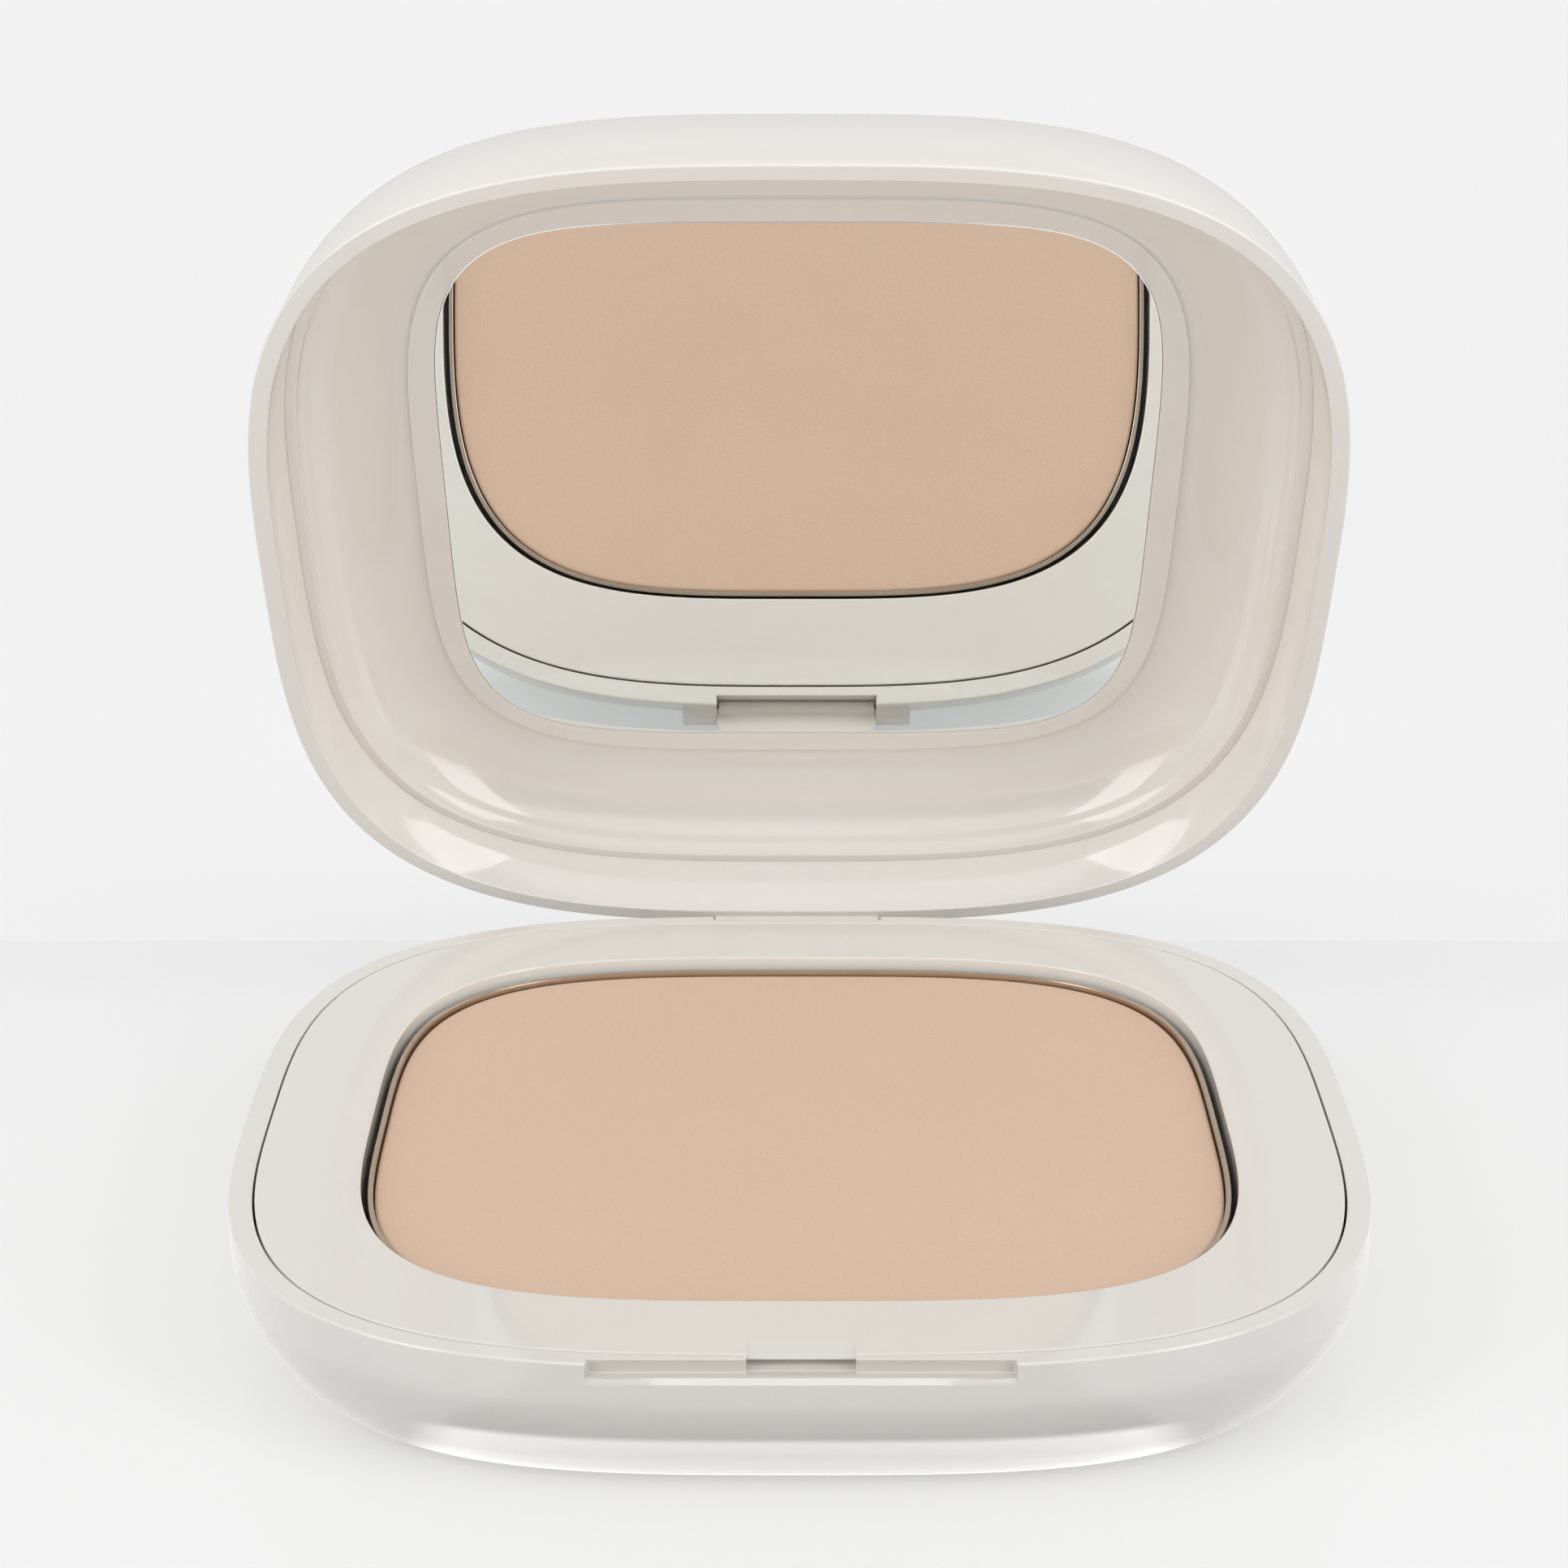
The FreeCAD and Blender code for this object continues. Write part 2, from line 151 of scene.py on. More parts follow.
def prism_x(name, poly, x0, x1, bevel=0.0, move=None, seg=3):
    """A polygon in the YZ plane extruded along X, its edges rounded."""
    n = len(poly)
    co = [(x0, y, z) for y, z in poly] + [(x1, y, z) for y, z in poly]
    faces = [list(range(n)), list(range(2 * n - 1, n - 1, -1))]
    faces += [[i, (i + 1) % n, n + (i + 1) % n, n + i] for i in range(n)]
    co = np.array(co, float)
    if move:
        co = move(co)
    ob = mesh_from(name, co, faces)
    if bevel:
        bm = bmesh.new()
        bm.from_mesh(ob.data)
        edges = [e for e in bm.edges if len(e.link_faces) == 2 and e.calc_face_angle(0) > math.radians(35)]
        bmesh.ops.bevel(bm, geom=edges, offset=bevel * MM, segments=seg, profile=0.5, affect="EDGES", clamp_overlap=True)
        bmesh.ops.recalc_face_normals(bm, faces=bm.faces)
        bm.to_mesh(ob.data)
        bm.free()
    return ob


def cylinder_x(name, r, x0, x1, y, z, seg=64, move=None):
    t = 2 * np.pi * np.arange(seg) / seg
    poly = list(zip(y + r * np.cos(t), z + r * np.sin(t)))
    return prism_x(name, poly, x0, x1, move=move)


def loft_polys(name, polys, move=None):
    """Closed solid through a stack of polygons with equal point counts, ends filled."""
    n = len(polys[0])
    co = np.array([p for poly in polys for p in poly], float)
    faces = [list(range(n)), list(range(len(co) - 1, len(co) - n - 1, -1))]
    for k in range(len(polys) - 1):
        a, b = k * n, (k + 1) * n
        faces += [[a + i, a + (i + 1) % n, b + (i + 1) % n, b + i] for i in range(n)]
    if move:
        co = move(co)
    return mesh_from(name, co, faces)


def boolean(ob, other, op):
    m = ob.modifiers.new("b", "BOOLEAN")
    m.operation, m.object, m.solver = op, other, "EXACT"
    m.use_self = False
    bpy.context.view_layer.update()
    dg = bpy.context.evaluated_depsgraph_get()
    me = bpy.data.meshes.new_from_object(ob.evaluated_get(dg), depsgraph=dg)
    ob.modifiers.clear()
    old = ob.data
    ob.data = me
    me.name = ob.name
    bpy.data.meshes.remove(old)
    bpy.data.objects.remove(other, do_unlink=True)
    return ob


def joined(name, *obs):
    """Several separate closed cutters as one."""
    bm = bmesh.new()
    for o in obs:
        bm.from_mesh(o.data)
        bpy.data.objects.remove(o, do_unlink=True)
    me = bpy.data.meshes.new(name)
    bm.to_mesh(me)
    bm.free()
    ob = bpy.data.objects.new(name, me)
    bpy.context.scene.collection.objects.link(ob)
    return ob


def keep_shading(source):
    """The smooth surface's own normals, to give back to what the cuts leave of it."""
    me = source.data
    me.calc_loop_triangles()
    co = np.zeros(len(me.vertices) * 3)
    me.vertices.foreach_get("co", co)
    tri_v = np.zeros(len(me.loop_triangles) * 3, np.int32)
    tri_l = np.zeros(len(me.loop_triangles) * 3, np.int32)
    me.loop_triangles.foreach_get("vertices", tri_v)
    me.loop_triangles.foreach_get("loops", tri_l)
    nor = np.zeros(len(me.loops) * 3)
    me.corner_normals.foreach_get("vector", nor)
    co, tri_v, tri_l, nor = co.reshape(-1, 3), tri_v.reshape(-1, 3), tri_l.reshape(-1, 3), nor.reshape(-1, 3)
    scale = 1000.0
    tree = BVHTree.FromPolygons((co * scale).tolist(), tri_v.tolist(), all_triangles=True)
    return tree, co * scale, tri_v, tri_l, nor, scale


def restore_shading(ob, kept, regions, sharp=28.0):
    """Gives the smooth normals back to faces inside the regions (boxes in millimetres) where cuts were made."""
    tree, co0, tri_v, tri_l, nor0, scale = kept
    me = ob.data
    me.shade_smooth()
    me.set_sharp_from_angle(angle=math.radians(sharp))
    nl, nv, npoly = len(me.loops), len(me.vertices), len(me.polygons)
    own = np.zeros(nl * 3)
    me.corner_normals.foreach_get("vector", own)
    out = own.reshape(-1, 3)
    lv = np.zeros(nl, np.int32)
    me.loops.foreach_get("vertex_index", lv)
    co = np.zeros(nv * 3)
    me.vertices.foreach_get("co", co)
    co = co.reshape(-1, 3) * scale
    fn = np.zeros(npoly * 3)
    me.polygons.foreach_get("normal", fn)
    fn = fn.reshape(-1, 3)
    total = np.zeros(npoly, np.int32)
    me.polygons.foreach_get("loop_total", total)
    loop_face = np.repeat(np.arange(npoly), total)
    near = np.zeros(nv, bool)
    for lo, hi in regions:
        near |= np.all((co > np.array(lo)) & (co < np.array(hi)), axis=1)
    smooth = np.zeros((nv, 3))
    for vi in np.nonzero(near)[0]:
        loc, _, idx, dist = tree.find_nearest(Vector(co[vi]))
        if dist is None or dist > 0.004:
            continue
        a, b, c = co0[tri_v[idx]]
        v0, v1, v2 = b - a, c - a, np.array(loc) - a
        d00, d01, d11, d20, d21 = v0 @ v0, v0 @ v1, v1 @ v1, v2 @ v0, v2 @ v1
        den = d00 * d11 - d01 * d01
        if abs(den) < 1e-18:
            continue
        v, w = (d11 * d20 - d01 * d21) / den, (d00 * d21 - d01 * d20) / den
        smooth[vi] = (1 - v - w) * nor0[tri_l[idx][0]] + v * nor0[tri_l[idx][1]] + w * nor0[tri_l[idx][2]]
    length = np.linalg.norm(smooth, axis=1)
    ok = length > 0.5
    smooth[ok] /= length[ok][:, None]
    use = ok[lv] & (np.einsum("ij,ij->i", smooth[lv], fn[loop_face]) > 0.985)
    out[use] = smooth[lv[use]]
    me.normals_split_custom_set(out.tolist())
    return ob


# ------------------------------------------------------------------ base shell
def make_base():
    re, ri, h = 0.16, 0.10, 0.03
    R = []
    bottom = out_line(BASE_ROUND_R)
    R += disc(bottom, 0.0, 10)
    for t in np.linspace(1.0, 0.0, 25)[1:]:
        ins, dz = rounding(t, BASE_ROUND_R, RZ - BASE_STRAIGHT, BASE_ROUND_K)
        R.append(at(out_line(ins), RZ - BASE_STRAIGHT - dz))
    R.append(at(out_line(0), RZ - BASE_STRAIGHT * 0.5))
    R.append(at(out_line(0), RZ - re - h))
    for a in arc(5):
        R.append(at(out_line(re - re * math.cos(a)), RZ - re + re * math.sin(a)))
    R.append(at(out_line(re + h), RZ))
    R.append(at(outline(*SEAT, -ri - h), RZ))
    for a in arc(4, 90, 0):
        R.append(at(outline(*SEAT, -ri + ri * math.cos(a)), RZ - ri + ri * math.sin(a)))
    R.append(at(outline(*SEAT), RZ - ri - h))
    R.append(at(outline(*SEAT), RZ - BASE_STRAIGHT))
    for t in (0.30, 0.40, 0.50, 0.60, 0.70, 0.80):
        ins, dz = rounding(t, BASE_ROUND_R, RZ - BASE_STRAIGHT, BASE_ROUND_K)
        z = RZ - BASE_STRAIGHT - dz
        if z < FLOOR_T + 0.3:
            break
        R.append(at(out_line(1.70 + ins), z))
    R.append(at(out_line(1.70 + ins), FLOOR_T))
    edge = out_line(1.70 + ins)
    R += disc(edge, FLOOR_T, 8)[::-1][1:]
    ob = skin("compact_base", R, cap0=(0, 0, 0.0), cap1=(0, 0, FLOOR_T))
    kept = keep_shading(ob)

    # hinge ears, faired into the back wall
    az = AXIS_Z
    ear = [(38.6, az + 1.9), (39.80, az + 1.9)]
    ear += [(AXIS_Y + KNUCKLE_R * math.cos(math.radians(a)), az + KNUCKLE_R * math.sin(math.radians(a)))
            for a in np.linspace(62, -72, 28)]
    ear += [(39.52, az - 3.0), (38.6, az - 3.0)]
    boolean(ob, joined("ears", prism_x("ear", ear, NOTCH_HALF - 0.001, EAR_OUT, bevel=0.16),
                       prism_x("ear", ear, -EAR_OUT, -NOTCH_HALF + 0.001, bevel=0.16)), "UNION")
    blk = [(36.9, az - 3.0), (38.75, az - 3.0), (38.75, RZ - SKIRT_D - 0.15), (36.9, RZ - SKIRT_D - 0.15)]
    boolean(ob, prism_x("block", blk, -EAR_OUT + 0.02, EAR_OUT - 0.02), "UNION")
    # notch, open at the top and back; its mouth is slightly eased
    e = 0.10
    prof = [(-NOTCH_HALF, az), (-NOTCH_HALF, RZ - e), (-NOTCH_HALF - e, RZ), (-NOTCH_HALF - 1.2, RZ + 1.1),
            (NOTCH_HALF + 1.2, RZ + 1.1), (NOTCH_HALF + e, RZ), (NOTCH_HALF, RZ - e), (NOTCH_HALF, az)]
    boolean(ob, loft_polys("notch", [[(x, y, z) for x, z in prof] for y in (NOTCH_FACE, 44.0)]), "DIFFERENCE")
    rr = KNUCKLE_R + 0.15
    b = [(AXIS_Y + rr * math.cos(math.radians(a)), az + rr * math.sin(math.radians(a))) for a in np.linspace(131.4, 270, 32)]
    b = [(44, az + 0.975)] + [(NOTCH_FACE, az + 0.975)] + b + [(44, az - rr)]
    boolean(ob, prism_x("notch_low", b, -NOTCH_HALF, NOTCH_HALF), "DIFFERENCE")
    boolean(ob, cylinder_x("pin_hole", PIN_R, -EAR_OUT - 1, EAR_OUT + 1, AXIS_Y, az, 48), "DIFFERENCE")

    # thumb slot, seen from the front as an open-topped rectangle with a bevelled mouth
    zf, e = RZ - SLOT_D, 0.07

    def section(y, half, floor, top=0.0):
        r = 0.10
        pts = [(-half - top - 1.0, RZ + 1.0), (-half - top, RZ), (-half, RZ - max(top, 0.001)), (-half, floor + r),
               (-half + r * 0.3, floor + r * 0.3), (-half + r, floor)]
        pts += [(-x, z) for x, z in pts[::-1]]
        return [(x, y, z) for x, z in pts]

    slot = [section(-SLOT_BACK + 0.001, SLOT_HALF - 0.08, zf + 0.08, e), section(-SLOT_BACK - 0.07, SLOT_HALF, zf, e),
            section(-44.0, SLOT_HALF, zf, e)]
    boolean(ob, loft_polys("slot", slot), "DIFFERENCE")
    # its mouth: a bevel whose lower edge bows down towards the ends of the curved wall
    lt = np.linspace(0, 1, 200)
    prof_in, prof_z = zip(*[rounding(t, BASE_ROUND_R, RZ - BASE_STRAIGHT, BASE_ROUND_K) for t in lt])

    def wall(x, z):
        drop = max(RZ - BASE_STRAIGHT - z, 0.0)
        return HALF * (1 - (abs(x) / HALF) ** N_OUT) ** (1 / N_OUT) - float(np.interp(drop, prof_z, prof_in))

    mouth = []
    side = 0.16
    xs = [SLOT_HALF * (k / 22.0) for k in range(-22, 23)]
    for x in [-SLOT_HALF - side] + xs + [SLOT_HALF + side]:
        zc = zf - SLOT_BEVEL - 0.525 * (HALF - HALF * (1 - (abs(x) / HALF) ** N_OUT) ** (1 / N_OUT))
        yo = wall(x, zc)
        if abs(x) > SLOT_HALF:
            yb, zb = yo - 0.0005, zc + 0.0005
        else:
            yb, zb = min(39.62, yo - 0.12), zf
        mouth.append([(x, -yb, RZ + 1.0), (x, -yb, zb), (x, -yo, zc), (x, -44.0, zc), (x, -44.0, RZ + 1.0)])
    boolean(ob, loft_polys("mouth", mouth), "DIFFERENCE")
    # eased top edge along the slot's back wall
    ease = [(-SLOT_BACK - 0.5, RZ - 0.07), (-SLOT_BACK, RZ - 0.07), (-SLOT_BACK + 0.07, RZ), (-SLOT_BACK + 0.07, RZ + 0.5), (-SLOT_BACK - 0.5, RZ + 0.5)]
    boolean(ob, prism_x("ease", ease, -SLOT_HALF - 0.05, SLOT_HALF + 0.05), "DIFFERENCE")
    # nail recess through the rim strip
    e = 0.06
    prof = [(-NAIL_HALF, zf), (-NAIL_HALF, RZ - e), (-NAIL_HALF - e, RZ), (-NAIL_HALF - e - 0.5, RZ + 0.5),
            (NAIL_HALF + e + 0.5, RZ + 0.5), (NAIL_HALF + e, RZ), (NAIL_HALF, RZ - e), (NAIL_HALF, zf)]
    boolean(ob, loft_polys("nail", [[(x, y, z) for x, z in prof] for y in (-SLOT_BACK - 0.12, -37.6)]), "DIFFERENCE")
    # posts under the tray
    top = RZ - WELL_D - WELL_T - 0.06
    posts = []
    for px, py in ((22, 22), (-22, 22), (22, -22), (-22, -22)):
        t = 2 * np.pi * np.arange(48) / 48
        circ = lambda r, z: np.column_stack([px + r * np.cos(t), py + r * np.sin(t), np.full(48, z)])
        rings = [circ(2.2, FLOOR_T - 0.5), circ(2.2, top - 0.25), circ(2.12, top - 0.08), circ(1.95, top)]
        posts.append(skin("post", rings, cap0=(px, py, FLOOR_T - 0.5), cap1=(px, py, top)))
    boolean(ob, joined("posts", *posts), "UNION")
    return restore_shading(ob, kept, [((-16, -42, -1), (16, -36, 12)), ((-12, 35, -1), (12, 42, 12))])


# ------------------------------------------------------------------ refill tray
def make_tray():
    re, ro, h = 0.10, 0.14, 0.03
    R = []
    R += disc(outline(*OPENING, 0.5), RZ - WELL_D, 8)
    for a in arc(4, -90, 0)[1:]:
        R.append(at(outline(*OPENING, 0.5 - 0.5 * math.cos(a)), RZ - WELL_D + 0.5 + 0.5 * math.sin(a)))
    R.append(at(outline(*OPENING), RZ - 3.0))
    R.append(at(outline(*OPENING), RZ - ro - h))
    for a in arc(5):
        R.append(at(outline(*OPENING, -ro + ro * math.cos(a)), RZ - ro + ro * math.sin(a)))
    R.append(at(outline(*OPENING, -ro - h), RZ))
    a0, b0 = outline(*OPENING, -ro - h), outline(*TRAY, re + h)
    for f in (0.25, 0.5, 0.75):
        R.append(at(a0 + (b0 - a0) * f, RZ))
    R.append(at(b0, RZ))
    for a in arc(4, 90, 0):
        R.append(at(outline(*TRAY, re - re * math.cos(a)), RZ - re + re * math.sin(a)))
    R.append(at(outline(*TRAY), RZ - re - h))
    R.append(at(outline(*TRAY), RZ - SKIRT_D + 0.08))
    R.append(at(outline(*TRAY, 0.08), RZ - SKIRT_D))
    R.append(at(outline(*TRAY, SKIRT_T), RZ - SKIRT_D))
    R.append(at(outline(*TRAY, SKIRT_T), RZ - TRAY_T - 0.2))
    R.append(at(outline(*TRAY, SKIRT_T + 0.2), RZ - TRAY_T))
    R.append(at(outline(*OPENING, -WELL_T), RZ - TRAY_T))
    R.append(at(outline(*OPENING, -WELL_T), RZ - WELL_D - WELL_T + 0.5))
    R.append(at(outline(*OPENING, -WELL_T + 0.15), RZ - WELL_D - WELL_T + 0.15))
    R.append(at(outline(*OPENING, -WELL_T + 0.5), RZ - WELL_D - WELL_T))
    edge = outline(*OPENING, -WELL_T + 0.5)
    R += disc(edge, RZ - WELL_D - WELL_T, 6)[::-1][1:]
    ob = skin("compact_tray", R, cap0=(0, 0, RZ - WELL_D), cap1=(0, 0, RZ - WELL_D - WELL_T))
    kept = keep_shading(ob)
    pocket = [(-37.4, RZ - SKIRT_D + 0.02), (-37.4, RZ - TRAY_T + 0.4), (-SCOOP_BACK + 0.9, RZ - TRAY_T + 0.4), (-SCOOP_BACK + 0.9, RZ - SKIRT_D + 0.02)]
    boolean(ob, prism_x("pocket_block", pocket, -NAIL_HALF - 1.0, NAIL_HALF + 1.0), "UNION")
    lip = [(-36.10, RZ), (-36.10, RZ + 1), (-39.0, RZ + 1), (-39.0, RZ - 0.22 * 2.9 / 2.1)]
    boolean(ob, prism_x("lip", lip, -NAIL_HALF, NAIL_HALF), "DIFFERENCE")
    sc = [(-SCOOP_BACK, RZ - SLOT_D + 0.08), (-SCOOP_BACK, RZ - LIP_T - 0.08), (-SCOOP_BACK - 0.08, RZ - LIP_T), (-39.0, RZ - LIP_T),
          (-39.0, RZ - SLOT_D), (-SCOOP_BACK - 0.08, RZ - SLOT_D)]
    boolean(ob, prism_x("scoop", sc, -NAIL_HALF, NAIL_HALF), "DIFFERENCE")
    return restore_shading(ob, kept, [((-6, -39, 7), (6, -34, 12))])


# ------------------------------------------------------------------ pan and powder
PA = (OPENING[0] - PAN_GAP, OPENING[1] - PAN_GAP, OPENING[2])


def make_pan():
    e, h = 0.07, 0.02
    zb, zt = RZ - PAN_BOTTOM, RZ - PAN_TOP
    R = disc(outline(*PA, 0.75), zb, 6)
    for a in arc(5, -90, 0)[1:]:
        R.append(at(outline(*PA, 0.75 - 0.75 * math.cos(a)), zb + 0.75 + 0.75 * math.sin(a)))
    R.append(at(outline(*PA), zt - e - h))
    for a in arc(3):
        R.append(at(outline(*PA, e - e * math.cos(a)), zt - e + e * math.sin(a)))
    R.append(at(outline(*PA, e + h), zt))
    R.append(at(outline(*PA, PAN_T - e - h), zt))
    for a in arc(3, 90, 0):
        R.append(at(outline(*PA, PAN_T - e + e * math.cos(a)), zt - e + e * math.sin(a)))
    R.append(at(outline(*PA, PAN_T), zt - e - h))
    R.append(at(outline(*PA, PAN_T), zb + 0.5))
    R += disc(outline(*PA, PAN_T), zb + 0.5, 6)[::-1][1:]
    return skin("compact_pan", R, cap0=(0, 0, zb), cap1=(0, 0, zb + 0.5))


def value_noise(x, y, cell, seed):
    """Smooth repeatable noise in -1..1, with the given cell size."""
    rng = np.random.RandomState(seed)
    grid = rng.uniform(-1, 1, (257, 257))
    u, v = x / cell + 128.37, y / cell + 128.71
    i, j = np.floor(u).astype(int) % 256, np.floor(v).astype(int) % 256
    fu, fv = u - np.floor(u), v - np.floor(v)
    fu, fv = fu * fu * (3 - 2 * fu), fv * fv * (3 - 2 * fv)
    return ((grid[i, j] * (1 - fu) + grid[i + 1, j] * fu) * (1 - fv)
            + (grid[i, j + 1] * (1 - fu) + grid[i + 1, j + 1] * fu) * fv)


def make_cake():
    ca, cb, n = PA[0] - PAN_T - CAKE_GAP, PA[1] - PAN_T - CAKE_GAP, PA[2]
    zb, zt = RZ - PAN_BOTTOM + 0.52, RZ - CAKE_TOP
    R = disc(outline(ca, cb, n), zb, 4)
    R.append(at(outline(ca, cb, n), zt - 0.24))
    for a in arc(6)[1:]:
        R.append(at(outline(ca, cb, n, 0.30 - 0.30 * math.cos(a)), zt - 0.22 + 0.22 * math.sin(a)))
    edge = outline(ca, cb, n, 0.30)
    top = disc(edge, zt, 120, inner=0.012)[::-1][1:]
    for r in top:
        x, y = r[:, 0], r[:, 1]
        fade = np.clip((np.hypot(ca, cb) - 0.0 - np.hypot(x, y)) / 6.0, 0, 1)
        r[:, 2] += fade * (0.004 * value_noise(x, y, 7.3, 3) + 0.0022 * value_noise(x, y, 1.9, 5) + 0.0016 * value_noise(x, y, 0.62, 8)) - 0.006 * fade
    R += top
    return skin("compact_powder", R, cap0=(0, 0, zb), cap1=(0, 0, float(np.mean(top[-1][:, 2]))))


# ------------------------------------------------------------------ hinge pin
def make_pin():
    t = 2 * np.pi * np.arange(48) / 48
    x1 = EAR_OUT - 0.15
    prof = [(-x1, PIN_R - 0.2), (-x1 + 0.03, PIN_R - 0.10), (-x1 + 0.10, PIN_R - 0.03), (-x1 + 0.2, PIN_R)]
    prof += [(x, PIN_R) for x in np.linspace(-x1 + 1, x1 - 1, 9)]
    prof += [(-x, r) for x, r in prof[:4][::-1]]
    rings = [np.column_stack([np.full(48, x), AXIS_Y + r * np.cos(t), AXIS_Z + r * np.sin(t)]) for x, r in prof]
    return skin("compact_pin", rings, cap0=(-x1 - 0.01, AXIS_Y, AXIS_Z), cap1=(x1 + 0.01, AXIS_Y, AXIS_Z))


# ------------------------------------------------------------------ lid
def lid_inset(h):
    """Inset of the lid's outer surface at height h above the rim plane."""
    lo, hi = 0.0, 1.0
    for _ in range(50):
        m = (lo + hi) / 2
        if LID_STRAIGHT + rounding(m, LID_ROUND_R, LID_H - LID_STRAIGHT, LID_ROUND_K)[1] < h:
            lo = m
        else:
            hi = m
    return rounding(lo, LID_ROUND_R, 1, LID_ROUND_K)[0]


def make_lid():
    re, ri, h = 0.14, 0.10, 0.03
    z0 = RZ + LID_GAP
    R = disc(out_line(LID_ROUND_R), RZ + LID_H, 12)
    for t in np.linspace(1.0, 0.0, 37)[1:-1]:
        ins, dz = rounding(t, LID_ROUND_R, LID_H - LID_STRAIGHT, LID_ROUND_K)
        z = RZ + LID_STRAIGHT + dz
        if z > z0 + re + h + 0.12:
            R.append(at(out_line(ins), z))
    R.append(at(out_line(lid_inset(LID_GAP + re + h)), z0 + re + h))
    i0 = lid_inset(LID_GAP + re)
    for a in arc(5):
        R.append(at(out_line(i0 + re - re * math.cos(a)), z0 + re - re * math.sin(a)))
    R.append(at(out_line(i0 + re + h), z0))
    R.append(at(out_line(LID_WALL - ri - h), z0))
    for a in arc(4, 90, 0):
        R.append(at(out_line(LID_WALL - ri + ri * math.cos(a)), z0 + ri - ri * math.sin(a)))
    R.append(at(out_line(LID_WALL + lid_inset(LID_GAP + ri + h)), z0 + ri + h))
    for hh in list(np.linspace(0.5, 11.4, 22)) + [11.8, 12.1, LID_H - LID_SKIN]:
        R.append(at(out_line(LID_WALL + lid_inset(hh)), RZ + hh))
    edge = out_line(LID_WALL + lid_inset(LID_H - LID_SKIN))
    R += disc(edge, RZ + LID_H - LID_SKIN, 6)[::-1][1:]
    ob = skin("compact_lid", R, cap0=(0, 0, RZ + LID_H), cap1=(0, 0, RZ + LID_H - LID_SKIN), move=opened)
    kept = keep_shading(ob)
    arm = [(39.25, RZ + LID_GAP + 0.6), (39.25, AXIS_Z + 0.90)]
    arm += [(AXIS_Y + KNUCKLE_R * math.cos(math.radians(a)), AXIS_Z + KNUCKLE_R * math.sin(math.radians(a)))
            for a in np.linspace(128.1, 372, 62)]
    arm += [(AXIS_Y + KNUCKLE_R - 0.08, AXIS_Z + 1.2), (40.52, RZ + 0.6), (40.30, RZ + 1.2), (40.05, RZ + 1.9), (39.70, RZ + 2.6), (39.25, RZ + 2.6)]
    arm_ob = prism_x("arm", arm, -KNUCKLE_HALF, KNUCKLE_HALF, bevel=0.12, move=opened)
    boolean(ob, arm_ob, "UNION")
    boolean(ob, cylinder_x("bore", PIN_R + RUN_CLEAR, -KNUCKLE_HALF - 1, KNUCKLE_HALF + 1, AXIS_Y, AXIS_Z, 48), "DIFFERENCE")
    return restore_shading(ob, kept, [((-9, 34, 4), (9, 48, 18))])


EDGE = out_line(HALF - LEDGE_IN)
FOOT = outline(BEZEL[0] + 0.5, BEZEL[1] + 0.5, BEZEL[2], 0, MIRROR_DY)
LINER_TOP = MIRROR_FACE + MIRROR_T + 0.26 + 0.55


def bowl(a):
    return at(EDGE + (FOOT - EDGE) * (1 - math.cos(a)), RZ + LEDGE_H + (BOWL_H - LEDGE_H) * math.sin(a))


def fit_inside(h, gap):
    return at(out_line(LID_WALL + lid_inset(h) + gap), RZ + h)


